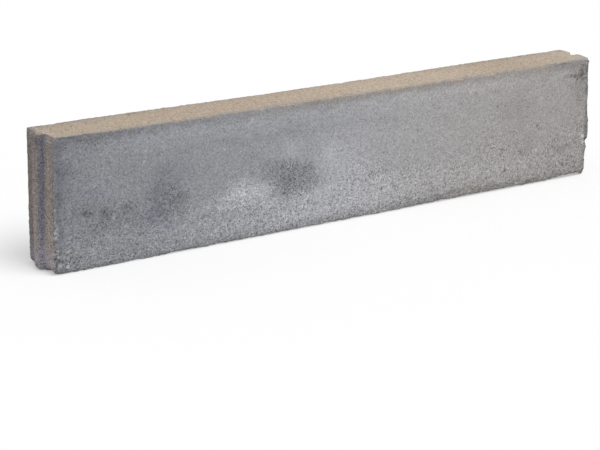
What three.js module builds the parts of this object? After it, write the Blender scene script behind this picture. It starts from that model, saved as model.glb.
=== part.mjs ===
// A pressed concrete edging kerb, cast as one piece. It stands on its long narrow foot.
// An upright tongue runs down one end and a matching groove down the other, so that a row
// of kerbs interlocks. Millimetres, +Z up, +X from the tongue end to the groove end, and the
// origin under the middle of the stone.
import * as THREE from "three";

// Body
const LENGTH = 1000; // from the tongue's shoulders to the groove end
const HEIGHT = 200; // from the foot to the top face
const THICKNESS = 80; // from the front face to the back face

// Tongue, a trapezoid in plan
const TONGUE_DEPTH = 9; // how far it stands out of its shoulders
const TONGUE_ROOT = 30; // its width at the shoulders
const TONGUE_CREST = 13; // its width at the crest
const JOINT_GAP = 1; // play between a tongue and the groove it enters, on every side

// Worn edges
const CORNER_RADIUS = 3; // the four upright corners of the body
const CREST_RADIUS = 4; // the corners of the tongue's crest and of the groove's floor
const ROOT_RADIUS = 4; // the corners at the tongue's root and at the groove's lips
const EDGE_RADIUS = 2; // the edges all round the top face and all round the foot

// Facets of the round stretches
const CORNER_SEGMENTS = 3;
const EDGE_SEGMENTS = 3;

const CONCRETE_GREY = 0x8d8c8d;

/** A corner of the plan outline, with the radius that rounds it. */
function corner(x, y, radius) {
  return { at: new THREE.Vector2(x, y), radius };
}

/** The two ends of a corner's arc, its centre and its angles. The sides it joins limit it. */
function cornerArc(before, { at, radius }, after) {
  const arrive = at.clone().sub(before.at);
  const leave = after.at.clone().sub(at);
  const room = Math.min(arrive.length(), leave.length()) / 2;
  arrive.normalize();
  leave.normalize();
  const turn = Math.atan2(arrive.cross(leave), arrive.dot(leave));
  const side = Math.sign(turn);
  const slack = Math.tan(Math.abs(turn) / 2);
  const reach = Math.min(radius * slack, room);
  const bend = reach / slack;
  const start = at.clone().addScaledVector(arrive, -reach);
  const inward = new THREE.Vector2(-arrive.y, arrive.x).multiplyScalar(side);
  const centre = start.clone().addScaledVector(inward, bend);
  const from = Math.atan2(-inward.y, -inward.x);
  return { centre, bend, from, to: from + turn, clockwise: side < 0 };
}

/** A closed outline through rounded corners, listed anticlockwise. */
function roundedOutline(corners) {
  const outline = new THREE.Shape();
  corners.forEach((here, i) => {
    const before = corners.at(i - 1);
    const after = corners[(i + 1) % corners.length];
    const { centre, bend, from, to, clockwise } = cornerArc(before, here, after);
    outline.absarc(centre.x, centre.y, bend, from, to, clockwise);
  });
  outline.closePath();
  return outline;
}

/** One flank of a tongue or groove: the root corner at x, then the crest corner past it. */
function flank(x, side, { depth, root, crest }) {
  return [
    corner(x, (side * root) / 2, ROOT_RADIUS),
    corner(x - depth, (side * crest) / 2, CREST_RADIUS),
  ];
}

/** The kerb seen from above. */
function planOutline() {
  const tongue = { depth: TONGUE_DEPTH, root: TONGUE_ROOT, crest: TONGUE_CREST };
  const groove = {
    depth: TONGUE_DEPTH + JOINT_GAP,
    root: TONGUE_ROOT + 2 * JOINT_GAP,
    crest: TONGUE_CREST + 2 * JOINT_GAP,
  };
  const grooveEnd = (LENGTH + TONGUE_DEPTH) / 2;
  const shoulders = grooveEnd - LENGTH;
  const front = -THICKNESS / 2;
  const back = THICKNESS / 2;
  return roundedOutline([
    corner(shoulders, front, CORNER_RADIUS),
    corner(grooveEnd, front, CORNER_RADIUS),
    ...flank(grooveEnd, -1, groove),
    ...flank(grooveEnd, 1, groove).reverse(),
    corner(grooveEnd, back, CORNER_RADIUS),
    corner(shoulders, back, CORNER_RADIUS),
    ...flank(shoulders, 1, tongue),
    ...flank(shoulders, -1, tongue).reverse(),
  ]);
}

/** The stone: the plan outline drawn up to its height, with its top and foot edges rounded. */
function kerbGeometry() {
  const edge = Math.min(EDGE_RADIUS, CORNER_RADIUS, CREST_RADIUS, ROOT_RADIUS);
  const geometry = new THREE.ExtrudeGeometry(planOutline(), {
    depth: HEIGHT - 2 * edge,
    curveSegments: CORNER_SEGMENTS,
    bevelThickness: edge,
    bevelSize: edge,
    bevelOffset: -edge,
    bevelSegments: EDGE_SEGMENTS,
  });
  return geometry.translate(0, 0, edge);
}

const concrete = new THREE.MeshStandardMaterial({
  color: CONCRETE_GREY,
  roughness: 0.95,
  metalness: 0,
});

const kerbStone = new THREE.Mesh(kerbGeometry(), concrete);
kerbStone.name = "kerb_stone";

const kerb = new THREE.Group();
kerb.name = "kerb";
kerb.add(kerbStone);

export default kerb;
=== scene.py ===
"""A pressed concrete edging kerb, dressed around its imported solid.

The stone is one cast piece. Semi-dry concrete was rammed into a steel mould and struck at once.
The long faces took the mould's steel, so they are grey and close-grained. The top is a sandy
facing mix. The ends, with their tongue and groove, are rough and brown, and the foot's edges
crumbled the most.

Lengths are metres unless a name or a docstring says otherwise. +Z is up, +X runs from the tongue
end to the groove end, and the front face looks along -Y. Marks on the stone are given in
millimetres: along is from the tongue's shoulders, across from the front face and up from the
foot. A tone is how light a place looks, as a share of its colour. A warmth runs from the colour's
cool shade at 0 to its warm one at 1.
"""

import logging
import math
from collections.abc import Mapping, Sequence
from dataclasses import dataclass, replace
from enum import Enum

import bpy
import numpy as np
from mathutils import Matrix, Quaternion, Vector, noise


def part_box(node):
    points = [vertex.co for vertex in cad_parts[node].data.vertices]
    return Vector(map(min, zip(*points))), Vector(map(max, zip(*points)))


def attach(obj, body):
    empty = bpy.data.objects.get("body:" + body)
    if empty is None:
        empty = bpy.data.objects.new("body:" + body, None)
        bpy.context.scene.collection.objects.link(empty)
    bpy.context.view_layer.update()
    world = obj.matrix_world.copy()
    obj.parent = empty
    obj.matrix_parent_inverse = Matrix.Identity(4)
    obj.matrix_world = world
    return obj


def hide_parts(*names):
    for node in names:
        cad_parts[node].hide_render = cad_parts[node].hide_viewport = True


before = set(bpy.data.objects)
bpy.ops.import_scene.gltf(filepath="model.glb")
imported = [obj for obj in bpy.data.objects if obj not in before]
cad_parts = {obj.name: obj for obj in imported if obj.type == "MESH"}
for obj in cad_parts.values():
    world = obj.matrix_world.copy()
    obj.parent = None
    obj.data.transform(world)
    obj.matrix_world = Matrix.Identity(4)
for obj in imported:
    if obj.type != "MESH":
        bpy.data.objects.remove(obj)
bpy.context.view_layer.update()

LOG = logging.getLogger("kerb")
NODE = "kerb_stone"
BODY = "root"
PIECE = "pressed_kerb"
MM = 0.001
WHITE = (1.0, 1.0, 1.0, 1.0)
# Tones are written as the eye sees them. This power turns them into light.
SEEN_TO_LIGHT = 2.2

Socket = bpy.types.NodeSocket
Pair = tuple[float, float]
Triple = tuple[float, float, float]


class Face(Enum):
    """The faces of the stone, the upright ones in order round its plan."""

    FRONT = 0
    GROOVE_END = 1
    BACK = 2
    TONGUE_END = 3
    TOP = 4
    FOOT = 5


LONG_FACES = (Face.FRONT, Face.BACK)
ENDS = (Face.TONGUE_END, Face.GROOVE_END)


class Coat(Enum):
    """What the mesh tells the concrete about each point of the stone."""

    FACING = "facing"
    END_SKIN = "end_skin"
    TONE = "tone"
    WARMTH = "warmth"
    COARSE = "coarse"


# ---------------------------------------------------------------- small tools


def linear(colour: str) -> tuple[float, float, float, float]:
    """Turns an sRGB hex colour into the linear colour that a shader takes.

    Args:
        colour: The colour as "#rrggbb".

    Returns:
        Red, green, blue and a full alpha, each from 0 to 1.
    """
    parts = [int(colour[i : i + 2], 16) / 255 for i in (1, 3, 5)]
    red, green, blue = (c / 12.92 if c <= 0.04045 else ((c + 0.055) / 1.055) ** 2.4 for c in parts)
    return red, green, blue, 1.0


def add_node(
    tree: bpy.types.NodeTree,
    kind: str,
    inputs: Mapping[str | int, Socket | float | Sequence[float]] | None = None,
    **settings: str,
) -> bpy.types.Node:
    """Adds one node with its settings, and fills its inputs with values or links.

    Args:
        tree: The node tree that gets the node.
        kind: The node's type, such as "ShaderNodeMix".
        inputs: What each input takes, by its name or place: an output to link, or a value.
        settings: The node's own properties.

    Returns:
        The new node.
    """
    made = tree.nodes.new(kind)
    for name, setting in settings.items():
        setattr(made, name, setting)
    for name, value in (inputs or {}).items():
        if isinstance(value, Socket):
            tree.links.new(value, made.inputs[name])
        else:
            made.inputs[name].default_value = value
    return made


def place_object(name: str, data: bpy.types.ID) -> bpy.types.Object:
    """Makes an object of a mesh, a light or a camera, and links it to the scene.

    Args:
        name: The object's name.
        data: What it shows.

    Returns:
        The object.
    """
    made = bpy.data.objects.new(name, data)
    bpy.context.scene.collection.objects.link(made)
    return made


def smooth_step(low: np.ndarray | float, high: np.ndarray | float, values: np.ndarray) -> np.ndarray:
    """Rises smoothly from 0 at low to 1 at high, or falls where high is the lower one."""
    t = np.clip((values - low) / (high - low), 0, 1)
    return t * t * (3 - 2 * t)


@dataclass(frozen=True)
class Ramp:
    """A smooth change from 0 at its start to its height at its end, which may be the lower one."""

    start: float
    end: float
    height: float = 1.0

    def at(self, values: np.ndarray) -> np.ndarray:
        """The ramp's height at each value."""
        return self.height * smooth_step(self.start, self.end, values)


@dataclass(frozen=True)
class Hump:
    """A smooth rise to 1 in the middle, which is gone about two widths away."""

    middle: float
    width: float

    def at(self, values: np.ndarray) -> np.ndarray:
        """The hump's height at each value."""
        return np.exp(-(((values - self.middle) / self.width) ** 2))


@dataclass(frozen=True)
class Profile:
    """A value that changes along one direction, as rows of place and value."""

    rows: tuple[Pair, ...]

    def at(self, places: np.ndarray) -> np.ndarray:
        """The value at each place."""
        return np.interp(places, *zip(*self.rows))


@dataclass(frozen=True)
class Drift:
    """How tone and warmth change along one direction, as rows of place, tone and warmth."""

    rows: tuple[Triple, ...]

    def at(self, places: np.ndarray) -> np.ndarray:
        """The tone and the warmth at each place, as two rows."""
        marks, tones, warmths = zip(*self.rows)
        return np.stack([np.interp(places, marks, tones), np.interp(places, marks, warmths)])


@dataclass(frozen=True)
class Pattern:
    """Smooth noise all over the stone.

    size is how wide its features are in millimetres, seed picks one such pattern and swing is how
    strong it is. Each layer is shrink times narrower than the one before, and weaker by that number
    to the power of fall, so as it stands each has half the width and half the strength. Seeds take
    their patterns from places that lie seed_step apart.
    """

    size: float
    seed: int
    layers: int = 1
    swing: float = 1.0
    fall: float = 1.0
    shrink: float = 2.0
    seed_step: Triple = (17.31, 5.17, 9.73)

    def at(self, points: np.ndarray) -> np.ndarray:
        """Reads the pattern.

        Args:
            points: Places in metres, one row each.

        Returns:
            One value for each point, mostly within 0.6 swings of 0.
        """
        shift = Vector(self.seed_step) * (self.seed + 1)
        places = points / (self.size * MM)
        values = [noise.fractal(Vector(p) + shift, self.fall, self.shrink, self.layers) for p in places]
        return self.swing * np.array(values)


@dataclass(frozen=True)
class Spacing:
    """How a length is divided into steps that are shorter near both its ends.

    crowding is how many times shorter a step is at the ends than in the middle, and reach is how
    far from the ends the steps are short.
    """

    crowding: float
    reach: float
    # How many places along the length the steps are worked out from.
    samples: int = 4001

    def stations(self, length: float, count: int) -> np.ndarray:
        """Divides a length.

        Args:
            length: The length to divide.
            count: How many steps it gets.

        Returns:
            The places of the steps' ends, from 0 to the length.
        """
        fine = np.linspace(0, length, self.samples)
        density = 1 + (self.crowding - 1) * np.exp(-np.minimum(fine, length - fine) / self.reach)
        walked = np.concatenate([[0], np.cumsum((density[1:] + density[:-1]) / 2)])
        return np.interp(np.linspace(0, walked[-1], count + 1), walked, fine)


# ---------------------------------------------------------------- the stone's plain form


@dataclass(frozen=True)
class EndKey:
    """The tongue's section in plan. The groove is the same, wider and deeper by the gap."""

    depth: float = 9 * MM
    root: float = 30 * MM
    crest: float = 13 * MM
    gap: float = 1 * MM
    crest_radius: float = 4 * MM
    root_radius: float = 4 * MM

    def groove(self) -> "EndKey":
        """The groove that this tongue enters."""
        play = 2 * self.gap
        return replace(self, depth=self.depth + self.gap, root=self.root + play, crest=self.crest + play)

    def flank(self, x: float, side: int) -> list[Triple]:
        """One flank of the tongue or groove.

        Args:
            x: Where its root is.
            side: -1 for the front flank and 1 for the back one.

        Returns:
            The root corner and the crest corner past it, each as x, y and radius.
        """
        root = (x, side * self.root / 2, self.root_radius)
        crest = (x - self.depth, side * self.crest / 2, self.crest_radius)
        return [root, crest]


@dataclass(frozen=True)
class PlanOutline:
    """The stone seen from above, as four sides that meet halfway round its rounded corners."""

    left: float
    right: float
    half: float
    key: EndKey
    corner_radius: float
    arc_steps: int = 12
    spacing: Spacing = Spacing(crowding=4, reach=4 * MM)

    def corners(self) -> list[Triple]:
        """Lists the corners, anticlockwise from the front of the tongue end.

        Returns:
            Each corner as x, y and radius.
        """
        groove = self.key.groove()
        return [
            (self.left, -self.half, self.corner_radius),
            (self.right, -self.half, self.corner_radius),
            *groove.flank(self.right, -1),
            *reversed(groove.flank(self.right, 1)),
            (self.right, self.half, self.corner_radius),
            (self.left, self.half, self.corner_radius),
            *self.key.flank(self.left, 1),
            *reversed(self.key.flank(self.left, -1)),
        ]

    def arc(self, before: np.ndarray, at: np.ndarray, after: np.ndarray, radius: float) -> np.ndarray:
        """Rounds one corner.

        Args:
            before: The corner before it.
            at: The corner.
            after: The corner after it.
            radius: The radius that rounds it.

        Returns:
            The arc's points in order.
        """
        arrive = (at - before) / np.linalg.norm(at - before)
        leave = (after - at) / np.linalg.norm(after - at)
        turn = math.atan2(arrive[0] * leave[1] - arrive[1] * leave[0], float(arrive @ leave))
        start = at - arrive * radius * math.tan(abs(turn) / 2)
        inward = np.array([-arrive[1], arrive[0]]) * math.copysign(1, turn)
        centre = start + inward * radius
        angles = math.atan2(-inward[1], -inward[0]) + np.linspace(0, turn, self.arc_steps + 1)
        return centre + radius * np.stack([np.cos(angles), np.sin(angles)], axis=1)

    def sides(self, steps: Mapping[Face, int]) -> dict[Face, np.ndarray]:
        """Splits the outline into its four sides and spaces points along each.

        Args:
            steps: How many steps each upright face gets.

        Returns:
            The points of each upright face, both ends included.
        """
        corners = self.corners()
        spots = [np.array(corner[:2]) for corner in corners]
        neighbours = zip(spots[-1:] + spots[:-1], spots, spots[1:] + spots[:1], corners)
        path = np.concatenate([self.arc(*three, corner[2]) for *three, corner in neighbours])
        # The sides meet halfway round the body's own four corners.
        body = [i for i, spot in enumerate(spots) if math.isclose(abs(spot[1]), self.half)]
        halfway = [i * (self.arc_steps + 1) + self.arc_steps // 2 for i in body]
        made = {}
        for face, start, stop in zip(Face, halfway, halfway[1:] + [halfway[0] + len(path)]):
            run = np.take(path, np.arange(start, stop + 1), axis=0, mode="wrap")
            walked = np.concatenate([[0], np.cumsum(np.linalg.norm(np.diff(run, axis=0), axis=1))])
            marks = self.spacing.stations(walked[-1], steps[face])
            made[face] = np.stack([np.interp(marks, walked, run[:, k]) for k in (0, 1)], axis=1)
        return made


@dataclass
class StoneForm:
    """The stone as it would leave a perfect mould: rings up its walls, a grid on top and foot.

    What it measures at each point is in millimetres: along, across and up are the point's place,
    and from_edge, from_corner and to_end are how far off the nearest level edge, upright edge and
    end are.
    """

    key: EndKey = EndKey()
    corner_radius: float = 2.5 * MM
    edge_radius: float = 1.4 * MM
    edge_steps: int = 3
    along_steps: int = 376
    across_steps: int = 32
    up_steps: int = 80
    up_spacing: Spacing = Spacing(crowding=2.5, reach=8 * MM)
    # The points are measured against the edge in this many batches, which spares memory.
    batches: int = 40

    def __post_init__(self) -> None:
        """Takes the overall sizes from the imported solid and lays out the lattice."""
        self.low, self.high = (np.array(corner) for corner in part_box(NODE))
        self.shoulders = self.low[0] + self.key.depth
        self.length = self.high[0] - self.shoulders
        self.thickness = self.high[1] - self.low[1]
        self.height = self.high[2] - self.low[2]
        self.build_walls()
        self.build_cap(Face.TOP)
        self.build_cap(Face.FOOT)
        self.measure()

    def build_walls(self) -> None:
        """Stacks the plan outline into rings, drawn in where they round the level edges."""
        steps = dict.fromkeys(LONG_FACES, self.along_steps) | dict.fromkeys(ENDS, self.across_steps)
        half = self.thickness / 2
        outline = PlanOutline(self.shoulders, self.high[0], half, self.key, self.corner_radius)
        sides = outline.sides(steps)
        self.ring = np.concatenate([run[:-1] for run in sides.values()])
        forward = np.roll(self.ring, -1, axis=0) - np.roll(self.ring, 1, axis=0)
        outward = np.stack([forward[:, 1], -forward[:, 0]], axis=1)
        outward /= np.linalg.norm(outward, axis=1)[:, None]

        turn = np.linspace(0, math.pi / 2, self.edge_steps + 1)[:-1]
        rise = self.edge_radius * (1 - np.cos(turn))
        inset = self.edge_radius * (1 - np.sin(turn))
        straight = self.height - 2 * self.edge_radius
        wall = self.edge_radius + self.up_spacing.stations(straight, self.up_steps)
        levels = self.low[2] + np.concatenate([rise, wall, self.height - rise[::-1]])
        insets = np.concatenate([inset, np.zeros(len(wall)), inset[::-1]])
        size = len(self.ring)
        rings = [
            np.column_stack([self.ring - outward * inset, np.full(size, level)])
            for level, inset in zip(levels, insets)
        ]
        self.points = np.concatenate(rings)
        side_of = np.repeat([face.value for face in sides], [steps[face] for face in sides])
        self.face_of = np.tile(side_of, len(levels))
        # The number of the first point in the ring round each cap.
        self.first = {Face.FOOT: 0, Face.TOP: (len(levels) - 1) * size}
        here = np.arange(size)
        there = np.roll(here, -1)
        band = np.stack([here, there, there + size, here + size], axis=1)
        self.quads = np.concatenate([band + k * size for k in range(len(levels) - 1)])

    def build_cap(self, face: Face) -> None:
        """Fills the top or the foot with a grid that shares the ring's points.

        Args:
            face: The top or the foot.
        """
        n, m = self.along_steps, self.across_steps
        ring = self.first[face] + np.arange(len(self.ring))
        grid = np.zeros((n + 1, m + 1), int)
        grid[:, 0] = ring[: n + 1]
        grid[n, :] = ring[n : n + m + 1]
        grid[:, m] = ring[n + m : 2 * n + m + 1][::-1]
        grid[0, 1:] = ring[2 * n + m :][::-1]
        u = np.linspace(0, 1, n + 1)[:, None, None]
        v = np.linspace(0, 1, m + 1)[None, :, None]
        near = self.points[grid[:, 0]][:, None]
        far = self.points[grid[:, m]][:, None]
        left = self.points[grid[0]][None]
        right = self.points[grid[n]][None]
        corners = (1 - u) * ((1 - v) * near[0] + v * far[0]) + u * ((1 - v) * near[n] + v * far[n])
        patch = (1 - v) * near + v * far + (1 - u) * left + u * right - corners
        inner = patch[1:-1, 1:-1].reshape(-1, 3)
        grid[1:-1, 1:-1] = len(self.points) + np.arange(len(inner)).reshape(n - 1, m - 1)
        self.points = np.concatenate([self.points, inner])
        self.face_of = np.concatenate([self.face_of, np.full(len(inner), face.value)])
        around = [grid[:-1, :-1], grid[1:, :-1], grid[1:, 1:], grid[:-1, 1:]]
        if face is Face.FOOT:
            around.reverse()
        cells = np.stack([corner.ravel() for corner in around], axis=1)
        self.quads = np.concatenate([self.quads, cells])

    def measure(self) -> None:
        """Works out where each point lies, which way is out, and how far off the edges are."""
        self.along, self.across, self.up = (self.points - (self.shoulders, *self.low[1:])).T / MM
        self.top = self.height / MM
        a, b, c, d = (self.points[self.quads[:, k]] for k in range(4))
        facing = np.cross(c - a, d - b)
        outward = np.zeros_like(self.points)
        for k in range(4):
            np.add.at(outward, self.quads[:, k], facing)
        self.outward = outward / np.linalg.norm(outward, axis=1)[:, None]

        level = self.face_of >= Face.TOP.value
        parts = np.array_split(self.points[level, :2], self.batches)
        gaps = [np.linalg.norm(part[:, None] - self.ring, axis=2).min(axis=1) for part in parts]
        self.from_edge = np.minimum(self.up, self.top - self.up)
        self.from_edge[level] = np.concatenate(gaps) / MM
        self.to_end = np.minimum(self.along, self.length / MM - self.along)
        to_side = np.minimum(self.across, self.thickness / MM - self.across)
        self.from_corner = np.hypot(self.to_end, to_side)

    def inward(self, core: float = 13 * MM) -> np.ndarray:
        """The way to a core inside the stone, so that deep wear near an edge never folds over.

        Args:
            core: How far the core lies under the faces.

        Returns:
            A unit vector for each point.
        """
        low = np.array([self.shoulders, *self.low[1:]]) + core
        way = np.clip(self.points, low, self.high - core) - self.points
        return way / np.linalg.norm(way, axis=1)[:, None]

    def unfolded(self, points: np.ndarray, rounds: int = 16, least_lean: float = 0.1) -> np.ndarray:
        """Evens out the few places where deep wear would fold the skin over.

        Args:
            points: The worn stone's points.
            rounds: How many times folds are looked for.
            least_lean: How far a face's corner must look outward, as a cosine.

        Returns:
            The points, with those of each fold drawn between their neighbours.
        """
        starts, stops = self.quads.ravel(), np.roll(self.quads, -1, axis=1).ravel()
        count = np.bincount(starts) + np.bincount(stops)
        outward = self.outward[self.quads]
        for _ in range(rounds):
            corners = points[self.quads]
            onward, back = (np.roll(corners, step, axis=1) - corners for step in (-1, 1))
            facing = np.cross(onward, back)
            leaning = (facing * outward).sum(axis=2) / np.linalg.norm(facing, axis=2)
            folded = (leaning < least_lean).any(axis=1)
            if not folded.any():
                break
            loose = np.zeros(len(points), bool)
            loose[self.quads[folded]] = True
            loose[self.quads[loose[self.quads].any(axis=1)]] = True
            sums = np.zeros_like(points)
            np.add.at(sums, starts, points[stops])
            np.add.at(sums, stops, points[starts])
            points = np.where(loose[:, None], sums / count[:, None], points)
        return points

    def on(self, *faces: Face) -> np.ndarray:
        """1 at each point of the given faces, and 0 elsewhere."""
        return np.isin(self.face_of, [face.value for face in faces]).astype(float)

    def near(self, along: float, across: float, up: float, reach: Triple) -> np.ndarray:
        """How far each point is from a place, as a share of a reach along each axis."""
        offsets = (self.along - along, self.across - across, self.up - up)
        return np.sqrt(sum((offset / r) ** 2 for offset, r in zip(offsets, reach)))


# ---------------------------------------------------------------- what the casting did to it


@dataclass(frozen=True)
class Relief:
    """How far a face dips below its mould, in millimetres: as a sag, in ripples and in grit."""

    sag: float
    ripple: float
    grit: float


@dataclass(frozen=True)
class EdgeWear:
    """How an edge crumbled, in millimetres: the usual loss, its change, its gaps, its reach."""

    loss: float
    ragged: float
    gaps: float
    reach: float

    def depth(self, distance: np.ndarray, ragged: np.ndarray, gaps: np.ndarray) -> np.ndarray:
        """How much is lost at each point.

        Args:
            distance: How far each point is from the edge in millimetres.
            ragged: Fine noise along the edge.
            gaps: Where whole grains came away, from 0.

        Returns:
            The loss at each point, in millimetres.
        """
        lost = np.clip(self.loss + self.ragged * ragged + self.gaps * gaps, 0, None)
        return lost * np.exp(-((distance / self.reach) ** 2))


@dataclass(frozen=True)
class Chip:
    """A broken place: its centre, its reach along each axis and its depth, in millimetres.

    tone is how much lighter or darker the break looks, and rough how much its rim wanders. The rim
    gives where the break starts and where it is deepest, as shares of its reach.
    """

    along: float
    across: float
    up: float
    reach: Triple
    depth: float
    tone: float = 0.0
    rough: float = 0.6
    rim: Ramp = Ramp(1.0, 0.3)

    def bowl(self, form: StoneForm, grains: np.ndarray) -> np.ndarray:
        """How deep each point lies in the break, from 0 outside to 1, with noise on its rim."""
        away = form.near(self.along, self.across, self.up, self.reach)
        return self.rim.at(away * (1 + self.rough * grains))


@dataclass(frozen=True)
class Pit:
    """A hollow where a grain fell out, or a pale grain, on the front unless across says where.

    The place, the radius and the depth are in millimetres, and the rim in shares of the radius.
    """

    along: float
    up: float
    radius: float = 2.6
    depth: float = 0.9
    # Under 0 the hollow is painted darker, as shade in it; over 0 a pale grain shows its own colour.
    tone: float = -0.3
    across: float = 0.0
    rim: Ramp = Ramp(1.2, 0.2)

    def bowl(self, form: StoneForm) -> np.ndarray:
        """A round hollow about the form's nearest point.

        Args:
            form: The plain form.

        Returns:
            0 outside the hollow, up to 1 in its middle.
        """
        middle = int(np.argmin(form.near(self.along, self.across, self.up, (1, 1, 1))))
        place = (form.along[middle], form.across[middle], form.up[middle])
        return self.rim.at(form.near(*place, (self.radius,) * 3))


@dataclass(frozen=True)
class StrayPits:
    """Small pits strewn over every face but the front. A pit's depth is a share of its radius."""

    count: int = 260
    seed: int = 21
    radii: Pair = (1.8, 3.6)
    depth: float = 0.35
    # Each pit is painted this much darker, as shade in it.
    tone: float = -0.16

    def strewn(self, form: StoneForm) -> list[Pit]:
        """Strews the pits.

        Args:
            form: The plain form.

        Returns:
            The pits, each about one of the form's points.
        """
        chance = np.random.default_rng(self.seed)
        others = np.flatnonzero(form.face_of != Face.FRONT.value)
        made = []
        for middle in chance.choice(others, self.count, replace=False):
            along, across, up = form.along[middle], form.across[middle], form.up[middle]
            radius = chance.uniform(*self.radii)
            made.append(Pit(along, up, radius, self.depth * radius, self.tone, across))
        return made


@dataclass(frozen=True)
class Burr:
    """A fin that was squeezed past a plate: its centre, its reach and its push in millimetres."""

    along: float
    across: float
    up: float
    reach: Triple
    push: Triple
    rim: Ramp = Ramp(1.0, 0.3)

    def pushed(self, form: StoneForm) -> np.ndarray:
        """How far each point is pushed out, in metres."""
        fin = self.rim.at(form.near(self.along, self.across, self.up, self.reach))
        return fin[:, None] * np.array(self.push) * MM


@dataclass(frozen=True)
class Crumb:
    """A bit of the top's facing that stands at its full height, in millimetres.

    Under it the skin is kept too, down to the depth.
    """

    along: float
    across: float
    radius: float
    depth: float = 6.0
    rim: Ramp = Ramp(1.3, 0.6)

    def held(self, form: StoneForm) -> np.ndarray:
        """How much of the mould's own surface is kept at each point, from 0 to 1."""
        reach = (self.radius, self.radius, self.depth)
        return self.rim.at(form.near(self.along, self.across, form.top, reach))


@dataclass(frozen=True)
class Casting:
    """The relief, pits and wear that the stone left its mould and its pallet with."""

    reliefs: Mapping[Face, Relief]
    top_wear: EdgeWear
    foot_wear: EdgeWear
    upright_wear: EdgeWear
    chips: Sequence[Chip]
    pits: Sequence[Pit]
    crumbs: Sequence[Crumb]
    burrs: Sequence[Burr]
    stray_pits: StrayPits = StrayPits()
    sag: Pattern = Pattern(180, seed=1)
    ripple: Pattern = Pattern(24, seed=2, layers=2)
    grit: Pattern = Pattern(6.5, seed=3, layers=2)
    ragged: Pattern = Pattern(8, seed=5, layers=2)
    gaps: Pattern = Pattern(24, seed=6, layers=2)
    grains: Pattern = Pattern(6, seed=8, layers=2)
    # Added to the ripples and the grit, so that they are depths, which are seldom under 0.
    lift: float = 0.5
    # Whole grains came away where the gaps' pattern is over this.
    gap_from: float = 0.2

    def shape(self, form: StoneForm, coarse: np.ndarray) -> tuple[np.ndarray, np.ndarray]:
        """Moves the form's points in by its relief and wear.

        Args:
            form: The plain form.
            coarse: How lean the mix is at each point, from 0 to about 1.

        Returns:
            The new points, and the tone of its marks, with shade painted in the pits.
        """
        bitten, chip_tones = self.chipping(form)
        hollows, pit_shade_and_grains = self.pitting(form)
        free = np.prod([1 - crumb.held(form) for crumb in self.crumbs], axis=0)
        dips = (self.dips(form, coarse) + hollows) * free
        bites = (self.edge_loss(form) + bitten) * free
        points = form.points - form.outward * dips[:, None] * MM + form.inward() * bites[:, None] * MM
        for burr in self.burrs:
            points += burr.pushed(form)
        return np.clip(form.unfolded(points), form.low, form.high), chip_tones + pit_shade_and_grains

    def dips(self, form: StoneForm, coarse: np.ndarray) -> np.ndarray:
        """How far each point lies under the mould's own surface.

        Args:
            form: The plain form.
            coarse: How lean the mix is at each point, from 0 to about 1.

        Returns:
            The dip at each point, in millimetres.
        """
        sag = np.abs(self.sag.at(form.points))
        ripple = self.lift + self.ripple.at(form.points)
        grit = (self.lift + self.grit.at(form.points)) * (1 + coarse)
        depth = np.zeros(len(form.points))
        for face, relief in self.reliefs.items():
            depth += form.on(face) * (relief.sag * sag + relief.ripple * ripple + relief.grit * grit)
        return np.clip(depth, 0, None)

    def edge_loss(self, form: StoneForm) -> np.ndarray:
        """What crumbled off the edges.

        Args:
            form: The plain form.

        Returns:
            The loss at each point, in millimetres.
        """
        ragged = self.ragged.at(form.points)
        gaps = np.clip(self.gaps.at(form.points) - self.gap_from, 0, None)
        top = self.top_wear.depth(form.from_edge, ragged, gaps)
        foot = self.foot_wear.depth(form.from_edge, ragged, gaps)
        level = np.where(form.up > form.top / 2, top, foot)
        return level + self.upright_wear.depth(form.from_corner, ragged, gaps)

    def chipping(self, form: StoneForm) -> tuple[np.ndarray, np.ndarray]:
        """What broke away at the chips.

        Args:
            form: The plain form.

        Returns:
            The loss at each point in millimetres, and the tone of the breaks.
        """
        grains = self.grains.at(form.points)
        lost = np.zeros(len(form.points))
        tones = np.zeros(len(form.points))
        for chip in self.chips:
            bowl = chip.bowl(form, grains)
            lost = np.maximum(lost, chip.depth * bowl)
            tones += chip.tone * bowl
        return lost, tones

    def pitting(self, form: StoneForm) -> tuple[np.ndarray, np.ndarray]:
        """The stone's own pits and the stray ones.

        Args:
            form: The plain form.

        Returns:
            Their depth at each point in millimetres, and their tone: painted shade in the hollows, a
            pale grain's own colour.
        """
        depth = np.zeros(len(form.points))
        tones = np.zeros(len(form.points))
        for pit in (*self.pits, *self.stray_pits.strewn(form)):
            bowl = pit.bowl(form)
            depth = np.maximum(depth, pit.depth * bowl)
            tones += pit.tone * bowl
        return depth, tones


# ---------------------------------------------------------------- how its skin is coloured

# In this section a look is two rows of numbers: the tone of every point, and its warmth.


def drawn_to(look: np.ndarray, target: np.ndarray, share: np.ndarray) -> np.ndarray:
    """Moves a look towards another one by a share of the way at each point."""
    return look + share * (target - look)


@dataclass(frozen=True)
class Tint:
    """A tone and a warmth that some places are drawn towards, or a change to both."""

    tone: float
    warmth: float

    def look(self) -> np.ndarray:
        """The tint as a look that is the same at every point."""
        return np.array([[self.tone], [self.warmth]])


@dataclass(frozen=True)
class Stain:
    """A soft patch of the front face.

    tone is how much lighter or darker it looks, warmth how much browner it is, or bluer where it
    is under 0, and coarse how much more its sand stands out. The place and its reach are in
    millimetres.
    """

    along: float
    up: float
    reach: float
    rise: float
    tone: float = 0.0
    warmth: float = 0.0
    coarse: float = 0.0
    # Over 1, which makes a stain even inside and its border short.
    falloff: float = 1.7

    def cover(self, along: np.ndarray, up: np.ndarray) -> np.ndarray:
        """How strong the stain is at each place, from 0 to 1."""
        away = ((along - self.along) / self.reach) ** 2 + ((up - self.up) / self.rise) ** 2
        return np.exp(-(away**self.falloff))


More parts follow.
